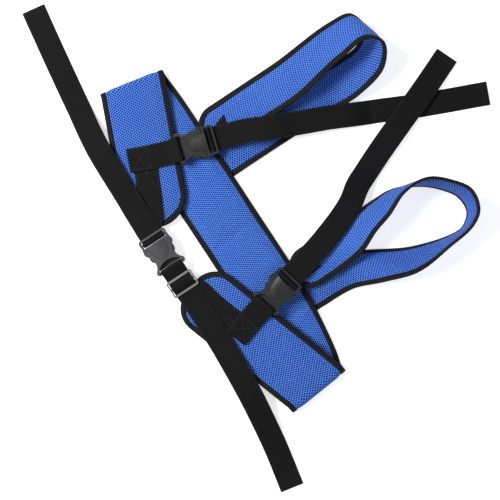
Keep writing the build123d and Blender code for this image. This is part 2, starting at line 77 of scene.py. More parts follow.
def soft_box(name, place, size, power):
    """A square soft light that faces the middle of the belt."""
    lamp = bpy.data.lights.new(name, "AREA")
    lamp.shape = "SQUARE"
    lamp.size = size
    lamp.energy = power
    holder = bpy.data.objects.new(name, lamp)
    bpy.context.scene.collection.objects.link(holder)
    holder.location = view_middle + Vector(place)
    holder.rotation_euler = Vector(place).to_track_quat("Z", "Y").to_euler()


soft_box("key_soft_box", place=(-1.0, -0.9, 1.6), size=0.8, power=50)
soft_box("fill_soft_box", place=(1.0, 0.9, 1.8), size=1.4, power=8)
room_light = 0.25

room = bpy.data.worlds.new("bright_room")
room.use_nodes = True
room.node_tree.nodes["Background"].inputs["Color"].default_value = (1, 1, 1, 1)
room.node_tree.nodes["Background"].inputs["Strength"].default_value = room_light
bpy.context.scene.world = room
bpy.context.scene.view_settings.view_transform = "Standard"


def both_ways(operation):
    """An operator on values, and its reflected form with the terms the other way round."""

    def forward(self, other):
        return self.maths(operation, self, other)

    def reflected(self, other):
        return self.maths(operation, other, self)

    return forward, reflected


class Value:
    """One output of a shader node. Sums on it add their Math nodes."""

    __add__, __radd__ = both_ways("ADD")
    __sub__, __rsub__ = both_ways("SUBTRACT")
    __mul__, __rmul__ = both_ways("MULTIPLY")
    __truediv__, __rtruediv__ = both_ways("DIVIDE")

    def __init__(self, finish, socket):
        self.finish = finish
        self.socket = socket

    def maths(self, operation, *terms):
        return self.finish.node("ShaderNodeMath", {"operation": operation}, dict(enumerate(terms)))

    def __abs__(self):
        return self.maths("ABSOLUTE", self)

    def sine(self):
        return self.maths("SINE", self)

    def part(self):
        """What is left over the whole number below."""
        return self.maths("FRACT", self)

    def lesser(self, other):
        return self.maths("MINIMUM", self, other)

    def root(self):
        return self.maths("SQRT", self)

    def step(self, low, high):
        """0 below low, 1 above high and a smooth rise between."""
        return self.finish.node(
            "ShaderNodeMapRange", {"interpolation_type": "SMOOTHSTEP"}, {0: self, 1: low, 2: high}
        )


class Finish:
    """A material that is written as sums and mixes."""

    def __init__(self, name, **constants):
        self.material = bpy.data.materials.new(name)
        self.material.use_nodes = True
        self.tree = self.material.node_tree
        self.shader = self.tree.nodes["Principled BSDF"]
        for socket, value in constants.items():
            self.shader.inputs[socket.replace("_", " ")].default_value = value

    def node(self, kind, settings=None, sockets=None, output=0):
        made = self.tree.nodes.new(kind)
        for name, value in (settings or {}).items():
            setattr(made, name, value)
        for name, value in (sockets or {}).items():
            self.feed(made.inputs[name], value)
        return Value(self, made.outputs[output])

    def feed(self, socket, value):
        if isinstance(value, Value):
            self.tree.links.new(value.socket, socket)
        else:
            socket.default_value = value

    def mix(self, share, first, second):
        """From the first colour to the second as share goes from 0 to 1."""
        return self.node(
            "ShaderNodeMix", {"data_type": "RGBA"}, {0: share, 6: first, 7: second}, output=2
        )

    def pattern(self):
        """Distances in metres along and across the flat cloth."""
        flat = self.node("ShaderNodeUVMap", {"uv_map": "flat"})
        return [self.node("ShaderNodeSeparateXYZ", None, {0: flat}, output=i) for i in (0, 1)]

    def noise(self, size, detail, stretch=(1, 1, 1)):
        """Cloudy values about 0.5 whose patches are about size metres across."""
        place = self.node("ShaderNodeTexCoord", output=3)
        spread = self.node("ShaderNodeVectorMath", {"operation": "MULTIPLY"}, {0: place, 1: stretch})
        return self.node(
            "ShaderNodeTexNoise", None, {"Vector": spread, "Scale": 1 / size, "Detail": detail}
        )

    def bump(self, height, depth):
        """Surface relief: height from 0 to 1 stands for depth metres."""
        sockets = {"Height": height, "Distance": depth, "Strength": 1.0}
        return self.node("ShaderNodeBump", None, sockets)

    def finish(self, **links):
        for socket, value in links.items():
            self.feed(self.shader.inputs[socket.replace("_", " ")], value)
        return self.material


def table_top():
    laminate = Finish("table_laminate", IOR=1.45, Emission_Color=(1, 1, 1, 1), Emission_Strength=0.6)
    grain = laminate.noise(0.25, 3)
    colour = laminate.mix(grain, (0.90, 0.90, 0.90, 1), (0.93, 0.93, 0.93, 1))
    return laminate.finish(Base_Color=colour, Roughness=0.55 + 0.1 * grain)


floor_mesh = bpy.data.meshes.new("table_top")
floor_half = 15.0
floor_gap = 0.0004          # keeps the table clear of the faces that rest on it
corners = ((-1, -1), (1, -1), (1, 1), (-1, 1))
floor_mesh.from_pydata([(x * floor_half, y * floor_half, 0) for x, y in corners], [], [(0, 1, 2, 3)])
floor = bpy.data.objects.new("table_top", floor_mesh)
floor.location = (0, 0, -floor_gap)
floor_mesh.materials.append(table_top())
bpy.context.scene.collection.objects.link(floor)

# ---- Belt pad --------------------------------------------------------------------------
# The padded waist belt is a strip of foam between two knitted air meshes, cut flat with
# round ends and folded over at both sides of the body. Its outer mesh has the open holes.
belt_width = 104.0
belt_foam = 4.0
seam_width = 8.5            # where the binding pinches the pad
crown = 0.7                 # how far the pad stands proud between its seams
back_left = 325.0
back_right = 246.0
flap_left = 226.0
flap_right = 249.0
tongue_radius = 40.0
left_tongue_radius = 51.0
row_pitch = 4.0
belt_level = belt_foam / 2 + 2.0


def along(degrees):
    return np.array((cos(radians(degrees)), sin(radians(degrees)), 0.0))


def unit(vector):
    return vector / np.linalg.norm(vector)


def dot(a, b):
    return float(np.dot(a, b))


upward = np.array((0.0, 0.0, 1.0))


def curve_through(keys, pitch):
    """Rows of numbers on a smooth curve through the key rows, whose first three are a place."""
    keys = np.array(keys, float)
    gaps = np.linalg.norm(np.diff(keys[:, :3], axis=0), axis=1)
    knots = np.concatenate([[0.0], np.cumsum(np.maximum(gaps, 1e-3) ** 0.75)])
    slopes = np.gradient(keys, knots, axis=0)
    rows = []
    for i in range(len(keys) - 1):
        span = knots[i + 1] - knots[i]
        steps = max(1, round(gaps[i] / pitch))
        for k in range(steps):
            t = k / steps
            rows.append(
                (2 * t**3 - 3 * t**2 + 1) * keys[i] + (t**3 - 2 * t**2 + t) * span * slopes[i]
                + (3 * t**2 - 2 * t**3) * keys[i + 1] + (t**3 - t**2) * span * slopes[i + 1]
            )
    return rows + [keys[-1]]


class Strip:
    """A long piece of cloth as it lies: where each point of the flat cut goes."""

    def __init__(self, rows, width, round_start=0.0, round_end=0.0):
        self.width = width
        self.rounds = (round_start, round_end)
        self.centres = np.array([r[:3] for r in rows])
        self.across = np.array([r[3:6] for r in rows])
        steps = np.diff(self.centres, axis=0)
        self.places = np.concatenate([[0], np.cumsum(np.linalg.norm(steps, axis=1))])
        self.length = self.places[-1]
        heading = np.gradient(self.centres, self.places, axis=0)
        normals = np.cross(self.across, heading)
        self.normals = normals / np.linalg.norm(normals, axis=1)[:, None]

    def lay(self, s, v, height=0.0):
        """The point of the cloth at s along it, v across it and height off its middle."""
        at = np.clip(s, 0, self.length)
        pick = [
            np.array([np.interp(at, self.places, table[:, i]) for i in range(3)])
            for table in (self.centres, self.across, self.normals)
        ]
        return pick[0] + pick[1] * v + unit(pick[2]) * height

    def ends_at(self, v):
        """Where the rounded ends cut a line at v across."""
        limits = []
        for radius in self.rounds:
            past = abs(v) - (self.width / 2 - radius)
            cut = radius - sqrt(max(radius**2 - past**2, 0)) if radius and past > 0 else 0.0
            limits.append(cut)
        return limits[0], self.length - limits[1]

    def to_edge(self, s, v):
        """Distance from a point of the flat cut to its edge, but not to a square end."""
        half = self.width / 2
        nearest = half - abs(v)
        for radius, from_end in zip(self.rounds, (s, self.length - s)):
            if radius and from_end < radius:
                inside = (radius - from_end, abs(v) - (half - radius))
                if inside[1] > 0:
                    nearest = min(nearest, radius - hypot(*inside))
                else:
                    nearest = min(nearest, from_end)
        return nearest


def ease(x, low, high):
    t = min(max((x - low) / (high - low), 0), 1)
    return t * t * (3 - 2 * t)


def ripple(a, b, length):
    """Soft unevenness between -1 and 1, with waves about length long."""
    k = 2 * pi / length
    return (
        sin(k * a + 1.3 * sin(0.71 * k * b)) * cos(0.83 * k * b + 0.6)
        + 0.6 * sin(1.9 * k * a + 0.9 + 1.7 * sin(0.53 * k * b))
    ) / 1.6


def add_mesh(name, points, faces, flat=None, tint=None):
    """A mesh from points about the belt's centre in millimetres."""
    mesh = bpy.data.meshes.new(name)
    places = np.array(points) / 1000 + np.array(belt_centre)
    mesh.from_pydata(places.tolist(), [], faces)
    if flat is not None:
        layer = mesh.uv_layers.new(name="flat")
        for loop in mesh.loops:
            u, v = flat[loop.vertex_index]
            layer.data[loop.index].uv = (u / 1000, v / 1000)
    for polygon in mesh.polygons:
        polygon.use_smooth = True
        if tint is not None:
            polygon.material_index = tint[polygon.index]
    piece = bpy.data.objects.new(name, mesh)
    bpy.context.scene.collection.objects.link(piece)
    return piece


def quarter_turn(t):
    return sin(pi / 2 * t)


def add_pad(name, strip, profile, columns, origin):
    """A closed pad. profile gives its two half thicknesses at a point of the flat cut."""
    inset = 1.0                 # inside the fold of the binding
    crowding = 0.35             # of the columns towards the edges
    half = strip.width / 2 - inset
    even = [2 * j / (columns - 1) - 1 for j in range(columns)]
    spread = [half * (quarter_turn(w) * crowding + w * (1 - crowding)) for w in even]
    reach = [r * 1.15 for r in strip.rounds]
    middle = [s for s in strip.places if reach[0] < s < strip.length - reach[1]]
    if not strip.rounds[0]:
        middle = [0.0] + [s for s in middle if s > 0]
    if not strip.rounds[1]:
        middle = middle + [strip.length]
    turn_rows = 14
    head = [k / turn_rows for k in range(turn_rows)] if strip.rounds[0] else []
    foot = [(k + 1) / turn_rows for k in range(turn_rows)] if strip.rounds[1] else []
    grid = []
    for v in spread:
        start, end = strip.ends_at(v * strip.width / 2 / half)
        start += inset if strip.rounds[0] else 0
        end -= inset if strip.rounds[1] else 0
        column = [start + (middle[0] - start) * (1 - quarter_turn(1 - t)) for t in head]
        column += middle
        column += [middle[-1] + (end - middle[-1]) * quarter_turn(t) for t in foot]
        grid.append(column)
    count = len(grid[0])
    points = []
    for side, way in ((0, 1), (1, -1)):
        for i in range(count):
            for j, v in enumerate(spread):
                s = grid[j][i]
                points.append(strip.lay(s, v, profile(s, v)[side] * way))
    base = np.array([[strip.lay(grid[j][i], v) for j, v in enumerate(spread)] for i in range(count)])
    run = np.linalg.norm(np.diff(base, axis=0), axis=2)
    run = np.vstack([np.zeros((1, columns)), np.cumsum(run, axis=0)])
    nearest = int(np.argmin([abs(s - origin) for s in grid[columns // 2]]))
    run = run - run[nearest]
    flat = [(run[i][j], v) for i in range(count) for j, v in enumerate(spread)] * 2
    lower = count * columns
    cells = [i * columns + j for i in range(count - 1) for j in range(columns - 1)]
    faces = [(a, a + columns, a + columns + 1, a + 1) for a in cells]
    faces += [tuple(lower + corner for corner in face[:1] + face[:0:-1]) for face in faces]
    tint = [0] * len(cells) + [1] * len(cells)
    rim = [i * columns for i in range(count)]
    rim += [(count - 1) * columns + j for j in range(1, columns)]
    rim += [i * columns + columns - 1 for i in range(count - 2, -1, -1)]
    rim += range(columns - 2, 0, -1)
    faces += [(b, a, lower + a, lower + b) for a, b in zip(rim, rim[1:] + rim[:1])]
    tint += [0] * len(rim)
    return add_mesh(name, points, faces, flat, tint)


def fold_rows(crest, heading, flap_heading, radius, slope):
    """Rows round a folded side, and the centre and heading of the flap that leaves it."""
    line = along((heading + flap_heading) / 2)
    if line[1] < 0:
        line = -line
    square_on = along(heading) - line * dot(along(heading), line)
    share = np.linalg.norm(square_on)
    square_on = unit(square_on)
    axis = crest - square_on * (radius + belt_level) + upward * (belt_level + radius)
    rows = []
    turn = 180 + slope
    steps = 30
    for step in range(steps + 1):
        roll = radians(turn * step / steps)
        outward = square_on * sin(roll) - upward * cos(roll)
        rows.append(np.concatenate([axis + outward * radius, line / share]))
    leaving = square_on * cos(radians(turn)) + upward * sin(radians(turn))
    return rows, unit(line * dot(along(heading), line) + leaving * share)


def flap_rows(last, heading, straight):
    """Rows from a fold to a flap's end, turning square to it on the way."""
    centre, skew = last[:3], last[3:6]
    square = np.cross(upward, heading)
    square = unit(square) * (1 if dot(square, skew) > 0 else -1)
    settle = 70.0               # how far on the cloth lies square to its way
    count = round(straight / row_pitch)
    rows = []
    for k in range(1, count + 1):
        s = straight * k / count
        share = min(s / settle, 1)
        side = skew * (1 - share) + square * share
        rows.append(np.concatenate([centre + heading * s, side]))
    return rows


def panel_row(x, lift):
    """The back panel: straight at the left, and bending a little towards its right fold."""
    bend = tan(radians(panel_turn))
    drop = bend / 2 * min(max(x - 60, 0), 100) + bend * max(x - 160, 0)
    turn = panel_turn / 2 * (ease(x, 30, 90) + ease(x, 130, 190))
    side = unit(along(90 + turn) + upward * lift / belt_width)
    return np.concatenate([(x, drop - panel_aside, belt_level + lift / 2), side])


seam_lift = 2.6
panel_aside = 0.7
panel_turn = -10            # degrees, in two steps
sewn_span = 65.0            # the seam that holds a leg pad
leg_x = {"left": -177.0, "right": 72.0}
bend_drop = tan(radians(panel_turn)) * (50 + back_right - 160)
left_crest = np.array((-back_left, -1.5, 0))
right_crest = np.array((back_right + 1, bend_drop + 1.5, 0))
left_roll, left_leaving = fold_rows(left_crest, heading=180, flap_heading=-23, radius=5.0, slope=0)
right_roll, right_leaving = fold_rows(
    right_crest, heading=-7, flap_heading=198, radius=9.0, slope=2.0
)
lifted = [(near + past, seam_lift) for near in leg_x.values() for past in (-5, sewn_span + 5)]
level = [(x, 0) for x in (70 - back_left, leg_x["left"] + sewn_span + 60, 22, back_right - 50)]
panel_keys = [left_roll[0]] + [panel_row(*key) for key in sorted(lifted + level)] + [right_roll[0]]
left_flap = flap_rows(left_roll[-1], left_leaving, flap_left)
right_flap = flap_rows(right_roll[-1], right_leaving, flap_right)
belt_rows = left_flap[::-1] + left_roll[:0:-1] + curve_through(panel_keys, row_pitch)
belt_rows += right_roll[1:] + right_flap
belt = Strip(belt_rows, belt_width, left_tongue_radius, tongue_radius)
panel_start = belt.places[len(left_flap) + len(left_roll) - 2]
panel_end = belt.places[-len(right_flap) - len(right_roll) + 1]
panel_rows = slice(len(left_flap) + 20, -len(right_flap) - 20)


def along_panel(x):
    """How far along the belt a place across its back panel is."""
    return float(np.interp(x, belt.centres[panel_rows, 0], belt.places[panel_rows]))


back_seam = along_panel(0.0)


def on_panel(s):
    """1 on the back panel, 0 on the flaps."""
    return ease(s, panel_start - 5, panel_start + 30) * (1 - ease(s, panel_end - 30, panel_end + 5))


pinched = 1.7               # half the thickness at the seams
tack_x = (-34.5, 116.0)     # where a row of stitches holds the panel's layers together
tack_slant = (-0.09, 0.08)
tack_s = [along_panel(x) for x in tack_x]
tack_depth = 1.9            # from the pad's middle to the stitches
tack_reach = 39.0
tack_spread = 4.5


def belt_thickness(s, v):
    """Half thicknesses of the belt's outer and inner sides, with the foam pinched at its seams."""
    edge = belt.to_edge(s, v)
    full = ease(edge, seam_width - 1.5, seam_width + 13)
    panel = on_panel(s)
    puff = crown * ease(edge, seam_width, seam_width + 30)
    dimple = (0.28 * ripple(s, v, 34) + 0.3 * ripple(v, s, 71)) * full
    outer = pinched + (1.45 + 0.2 * panel) * full + puff * panel + 0.6 * dimple * panel
    inner = pinched + 1.3 * full + puff + dimple
    droop = 0.9 * panel * (1 - full)
    inner -= droop
    for place, slant in zip(tack_s, tack_slant):
        dent = exp(-(((s - place - slant * v) / tack_spread) ** 2))
        dent *= 1 - ease(abs(v), tack_reach, tack_reach + 4)
        inner += (tack_depth - inner) * dent
    return outer + droop, inner


belt_pad = add_pad("belt_pad", belt, belt_thickness, 43, back_seam)


def air_mesh(name, lit, hole_shade, pitch, hole, relief):
    """Knitted air mesh: rows of round holes set half a pitch apart. The holes are painted nearly black
    as painted shade inside them, and the knit's loops carry a painted highlight.
    """
    cloth = Finish(name, Specular_IOR_Level=0.2, Sheen_Weight=0.05, Sheen_Roughness=0.4,
                   Sheen_Tint=(0.4, 0.6, 1, 1))
    u, v = cloth.pattern()
    wander = cloth.noise(0.012, 1)
    u = u / pitch[0] + 0.12 * wander
    v = v / pitch[1] + 0.12 * wander
    holes = []
    for shift in (0.0, 0.5):
        x = ((u + shift).part() - 0.5) * pitch[0] / hole[0]
        y = ((v + shift).part() - 0.5) * pitch[1] / hole[1]
        holes.append((x * x + y * y).root())
    away = holes[0].lesser(holes[1])
    rim = away.step(0.72, 1.12)
    knit = ((u * 2 * pi * 2).sine() * (v * 2 * pi * 2).sine()) * 0.5 + 0.5
    tone = cloth.noise(0.05, 3)
    ground = cloth.mix(tone, lit[0], lit[1])
    # The knit's raised loops are painted towards the third, paler blue: a painted highlight.
    yarn = cloth.mix(knit * 0.35, ground, lit[2])
    # Inside each hole the colour goes to the painted shade, nearly black.
    colour = cloth.mix(1 - rim, yarn, hole_shade)
    height = rim * 0.85 + knit * 0.15
    return cloth.finish(
        Base_Color=colour, Roughness=0.72 + 0.12 * knit, Normal=cloth.bump(height, relief)
    )


# Two blues of the yarn, and a paler third for the painted highlight on the knit.
yarn_blues_and_highlight = ((0.052, 0.18, 0.84, 1), (0.072, 0.23, 0.93, 1), (0.17, 0.41, 1.0, 1))
outer_air_mesh = air_mesh(
    "outer_air_mesh", yarn_blues_and_highlight, hole_shade=(0.001, 0.002, 0.022, 1),
    pitch=(0.0043, 0.0062), hole=(0.00152, 0.00138), relief=0.0012,
)
inner_air_mesh = air_mesh(
    "inner_air_mesh", yarn_blues_and_highlight, hole_shade=(0.001, 0.002, 0.026, 1),
    pitch=(0.0039, 0.0056), hole=(0.00134, 0.0012), relief=0.0009,
)


def dress(piece, finishes, body=None, nodes=()):
    """A piece's finishes, the body it moves with and the parts it stands for."""
    for finish in finishes:
        piece.data.materials.append(finish)
    if body:
        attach(piece, body)
    if nodes:
        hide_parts(*nodes)


air_meshes = (outer_air_mesh, inner_air_mesh)
belt_cloth = ("belt_foam", "belt_outer_mesh", "belt_lining_mesh")
dress(belt_pad, air_meshes, "belt", belt_cloth)

# ---- Belt binding ----------------------------------------------------------------------
# Woven tape folded over the pad's raw edge all the way round and sewn through with one row
# of lockstitch. The seam pulls the pad thin, so the tape puckers a little between stitches.
tape_cover = 8.6
tape_over = 0.85            # how far the tape stands off the pad
stitch_inset = 2.4          # from the tape's inner edge
stitch_pitch = 3.2


def rim_path(strip, open_start):
    """Places round the flat cut's edge, each with its inward direction and distance along."""
    half = strip.width / 2
    length = strip.length
    near, far = strip.rounds
    first = 0.0 if open_start else near
    sides = [first] + [s for s in strip.places if first < s < length - far] + [length - far]
    arc_steps = 14
    flat_steps = 6
    path = [(s, half, 0.0, -1.0) for s in sides]

    def round_off(s, v, radius, start, steps):
        for k in steps:
            a = start - pi / 2 * k / arc_steps
            path.append((s + radius * cos(a), v + radius * sin(a), -cos(a), -sin(a)))

    round_off(length - far, half - far, far, pi / 2, range(1, arc_steps + 1))
    for k in range(1, flat_steps):
        path.append((length, (half - far) * (1 - 2 * k / flat_steps), -1.0, 0.0))
    round_off(length - far, far - half, far, 0.0, range(arc_steps + 1))
    path += [(s, -half, 0.0, 1.0) for s in sides[-2::-1]]
    if not open_start:
        round_off(near, near - half, near, -pi / 2, range(1, arc_steps + 1))
        for k in range(1, flat_steps):
            path.append((0.0, (half - near) * (2 * k / flat_steps - 1), 1.0, 0.0))
        round_off(near, half - near, near, pi, range(arc_steps))
    return path


def tape_section(outer, inner, cover):
    """Outline of the folded tape from its inner edge on one face, round the rim, and back."""
    fold = [(cover, -0.35), (cover - 0.4, 0), (cover * 0.65, 0.05), (3.0, -0.1), (1.2, -0.45)]
    fold.append((0.35, -1.1))
    middle = (outer - inner) / 2
    skin = [(d, outer + h) for d, h in fold] + [(0.0, middle)]
    skin += [(d, -inner - h) for d, h in fold[::-1]]
    lining = [(cover - 0.1, 0.75 - inner), (2.0, 0.95 - inner), (0.9, middle)]
    lining += [(2.0, outer - 0.95), (cover - 0.1, outer - 0.75)]
    return skin + lining


def add_binding(name, strip, thickness, open_start):
    """The tape's folded section carried round the strip's edge, and the length it takes."""
    path = rim_path(strip, open_start)
    points = []
    flat = []
    travelled = 0.0
    last = None
    for s, v, ds, dv in path:
        here = strip.lay(s, v)
        if last is not None:
            travelled += np.linalg.norm(here - last)
        last = here
        pucker = 0.22 * sin(2 * pi * travelled / 9.7 + 1.7 * sin(travelled / 31))
        cover = tape_cover + 0.35 * sin(travelled / 23) + 0.5 * pucker
        outer, inner = thickness(s + ds * 3.0, v + dv * 3.0)
        section = tape_section(
            outer + tape_over + pucker * 0.5, inner + tape_over - pucker * 0.5, cover
        )
        points += [strip.lay(s + ds * d, v + dv * d, h) for d, h in section]
        across = 0.0
        for (d, h), (d0, h0) in zip(section, section[:1] + section):
            across += hypot(d - d0, h - h0)
            flat.append((travelled, across))
    width = len(section)
    count = len(path)
    faces = []
    spans = count - 1 if open_start else count
    for i in range(spans):
        a, b = i * width, (i + 1) % count * width
        for j in range(width):
            k = (j + 1) % width
            faces.append((a + j, b + j, b + k, a + k))
    if open_start:
        faces.append(tuple(range(width)))
        faces.append(tuple(range((count - 1) * width + width - 1, (count - 1) * width - 1, -1)))
    closing = 0.0 if open_start else np.linalg.norm(strip.lay(*path[0][:2]) - last)
    return add_mesh(name, points, faces, flat), travelled + closing


def binding_tape():
    """Black twill tape with a lockstitch that dents it, on both faces of the pad."""
    tape = Finish("binding_tape", Specular_IOR_Level=0.12, Sheen_Weight=0.01, Sheen_Roughness=0.5)
    u, v = tape.pattern()
    twill = ((u + v * 0.8) * (2 * pi / 0.0011)).sine() * 0.5 + 0.5
    worn = tape.noise(0.02, 3)
    low = tape.mix(worn, (0.0045, 0.0045, 0.005, 1), (0.0085, 0.008, 0.008, 1))
    colour = tape.mix(twill * 0.6, low, (0.020, 0.019, 0.018, 1))
    row = (abs(v - stitch_inset / 1000) / 0.0009).step(1.0, 0.2)
    dash = abs((u / (stitch_pitch / 1000)).part() - 0.5).step(0.42, 0.34)
    relief = 0.30 * twill + 0.6 * (1 - row) + 0.5 * row * dash
    return tape.finish(
        Base_Color=colour, Roughness=0.62 + 0.2 * twill, Normal=tape.bump(relief, 0.0004)
    )


tape_finish = binding_tape()
belt_binding, belt_tape_run = add_binding("belt_binding_tape", belt, belt_thickness, False)
dress(belt_binding, [tape_finish], "belt", ["belt_binding"])

# ---- Leg pads --------------------------------------------------------------------------
# Each thigh loop is a narrower padded strip, sewn under the belt's lower edge, turned back
# over on itself and left with a round end that carries the male half of its buckle.
leg_foam = 3.0
leg_width = {"left": 69.0, "right": 66.0}
leg_tip_radius = 32.5
leg_overhang = {"left": 6.0, "right": 10.0}
leg_end_height = 14.6
leg_reach = {"left": 292.0, "right": 281.0}
leg_level = leg_foam / 2 + 2.0
lap = 0.3
belt_edge = 50.0            # the seam that the leg pads are sewn in at
loop_rows = {
    "left": [
        ((-3, -20 / 292, leg_level * lap), (1, 0, 0)),
        ((-3, 0.004, leg_level * lap), (1, 0, 0)),
        ((-3, 0.035, leg_level), (1, 0, 0)),
        ((-3, 0.35, leg_level), (1, 0, 0)),
        ((-1, 0.68, leg_level), (1, 0, 0.01)),
        ((3, 0.80, leg_level), (1, 0.05, 0.3)),
        ((0, 0.95, 9), (1, 0.13, 0.72)),
        ((-18, 1.02, 19), (1, 0.02, 1.15)),
        ((-42, 0.996, 30), (1, -0.22, 0.9)),
        ((-49, 0.87, 36), (1, -0.36, 0.42)),
        ((-45, 0.53, 26), (1, -0.06, 0.12)),
        ((-46, 0.35, 16.5), (1, 0.02, 0.08)),
        ((-46, 0.20, 15), (1, 0, 0.02)),
        ((-46, 0.08, leg_end_height), (1, 0, 0)),
    ],
    "right": [
        ((0, -20 / 281, leg_level * lap), (1, 0, 0)),
        ((0, 0.0, leg_level * lap), (1, 0, 0)),
        ((0, 0.035, leg_level), (1, 0, 0)),
        ((3.5, 0.23, leg_level), (1, 0, 0.03)),
        ((28, 0.395, leg_level), (1, -0.05, 0.6)),
        ((61, 0.60, leg_level), (1, -0.38, 1.5)),
        ((82, 0.835, leg_level), (0.13, -0.34, 1)),
        ((81, 0.928, leg_level), (0.02, -0.02, 1)),
        ((66.5, 0.986, leg_level), (0.03, 0.05, 1)),
        ((39, 0.99, leg_level), (-0.04, 0.16, 1)),
        ((14, 0.935, leg_level), (-0.1, 0.12, 1)),
        ((-9, 0.845, leg_level), (-0.1, 0.08, 1)),
        ((-29, 0.695, leg_level), (0.21, 0.06, 1)),
        ((-31, 0.575, leg_level), (0.54, 0.07, 1)),
        ((-31, 0.465, leg_level), (0.83, 0.04, 1)),
        ((-31, 0.37, leg_level + 1), (1, -0.02, 0.57)),
        ((-32, 0.20, 10), (1, 0.02, 0.14)),
        ((-32, 0.10, leg_end_height), (1, 0, 0)),
    ],
}


def leg_strip(side):
    """The leg pad's lie, with its round end flat over the belt's edge."""
    keys = []
    for (x, share, z), across in loop_rows[side]:
        across = unit(np.array(across, float))
        edge = np.array((leg_x[side] + x, belt_edge + share * leg_reach[side], z))
        keys.append(np.concatenate([edge + across * leg_width[side] / 2, across]))
    tip = keys[-1].copy()
    tip[1] = belt_edge - leg_overhang[side]
    rows = curve_through(keys, row_pitch)
    steps = round((rows[-1][1] - tip[1]) / row_pitch)
    rows += [rows[-1] + (tip - rows[-1]) * k / steps for k in range(1, steps + 1)]
    for row in rows:
        row[3:6] = unit(row[3:6])
        low_edge = row[2] - abs(row[5]) * leg_width[side] / 2
        if row[1] > belt_edge + 15 and low_edge < leg_level:
            row[2] += leg_level - low_edge
    return Strip(rows, leg_width[side], 0.0, leg_tip_radius)


def leg_thickness(strip, wave):
    """Half thicknesses of a leg pad's outer and inner sides, thin where it is sewn in."""

    def profile(s, v):
        edge = strip.to_edge(s, v)
        full = ease(edge, seam_width - 1.5, seam_width + 11)
        puff = crown * ease(edge, seam_width, seam_width + 20)
        dimple = (0.25 * ripple(s + wave, v, 29) + 0.2 * ripple(v, s + wave, 63)) * full
        sewn = lap + (1 - lap) * ease(s, 20, 32)
        half = (1.35 + 1.1 * full + puff + dimple) * sewn
        return half, half

    return profile


for side, wave in (("left", 0.0), ("right", 400.0)):
    strip = leg_strip(side)
    thickness = leg_thickness(strip, wave)
    leg_pad = add_pad(f"{side}_leg_pad", strip, thickness, 31, 0.0)
    leg_cloth = [f"{side}_leg_{layer}" for layer in ("foam", "outer_mesh", "lining_mesh")]
    dress(leg_pad, air_meshes, "belt", leg_cloth)
    leg_binding, leg_tape_run = add_binding(f"{side}_leg_binding_tape", strip, thickness, True)
    dress(leg_binding, [tape_finish], "belt", [f"{side}_leg_binding"])

# ---- Webbing ---------------------------------------------------------------------------
# All the straps are one heavy ribbed webbing, heat-cut to length. Each male buckle grips its
# strap in a ladder frame, so the sewn part goes in under it and a long free end comes out.
webbing_width = 38.0
webbing_thick = 1.5
floor_lay = webbing_thick / 2 + 0.05
joint_of = {joint["name"]: joint for joint in frame["joints"]}
arm_pivot = (45.8, 0.0, 5.75)   # from the ears of the female half, above its base
end_x = 63.0
end_bar_x = 59.4
grip_bar_x = 52.35
slot_in_x = 50.6
slot_out_x = 57.4
frame_low = 3.8
over_grip = 7.25
under = 1.05
second = 2.75
loop_bar = (3.2, 4.4)
loop_radius = 3.05
hem_thick = 0.9
hem_depth = 12.0


class Place:
    """A frame that hardware or a flap lies in, with x along it and z off its face."""

    def __init__(self, origin, x_axis, z_axis):
        self.origin = np.array(origin)
        self.x = unit(np.array(x_axis))
        self.z = unit(np.array(z_axis))
        self.y = np.cross(self.z, self.x)

    def at(self, x, y, z):
        return self.origin + self.x * x + self.y * y + self.z * z


def buckle_place(name):
    """Where a buckle lies, from its slide's axis and the middle of its two arms' pivots."""
    axis = joint_of[f"{name}_release"]["axis"]
    pivots = [np.array(joint_of[f"{name}_{side}_squeeze"]["pos_m"]) for side in ("near", "far")]
    middle = ((pivots[0] + pivots[1]) / 2 - np.array(belt_centre)) * 1000
    place = Place(middle, axis, upward)
    return Place(place.at(*[-c for c in arm_pivot]), axis, upward)


waist_buckle, left_buckle, right_buckle = (
    buckle_place(name) for name in ("waist", "left_leg", "right_leg")
)
left_front = Place(left_roll[-1][:3], left_leaving, upward)
right_side = np.cross(upward, right_leaving)
right_front = Place(right_roll[-1][:3], right_leaving, np.cross(right_leaving, right_side))


def webbing_strip(points, first_across):
    """Webbing through points, kept level across and turned the same way all along."""
    keys = []
    side = np.array(first_across, float)
    count = len(points)
    for i, point in enumerate(points):
        step = np.array(points[min(i + 1, count - 1)]) - np.array(points[max(i - 1, 0)])
        level = np.cross(upward, step)
        if np.linalg.norm(level) > 0.25 * np.linalg.norm(step):
            level = unit(level)
            turned = level if dot(level, side) > 0 else -level
            if dot(turned, side) > 0.7:
                side = turned
        keys.append(np.concatenate([np.array(point), side]))
    rows = []
    for a, b in zip(keys, keys[1:]):
        if not rows or np.linalg.norm(b[:3] - a[:3]) > 0.05:
            rows.append(a)
    rows.append(keys[-1])
    dense = curve_through(rows, 1.2)
    kept = [dense[0]]
    for before, row, after in zip(dense, dense[1:], dense[2:]):
        gone = np.linalg.norm(row[:3] - kept[-1][:3])
        bend = np.linalg.norm(after[:3] - 2 * row[:3] + before[:3])
        if gone > 4.0 or bend > 0.06 or gone > 0.9 and bend > 0.02:
            kept.append(row)
    kept.append(dense[-1])
    for row in kept:
        row[2] = max(row[2], floor_lay)
        row[3:6] = unit(row[3:6])
    return Strip(kept, webbing_width)


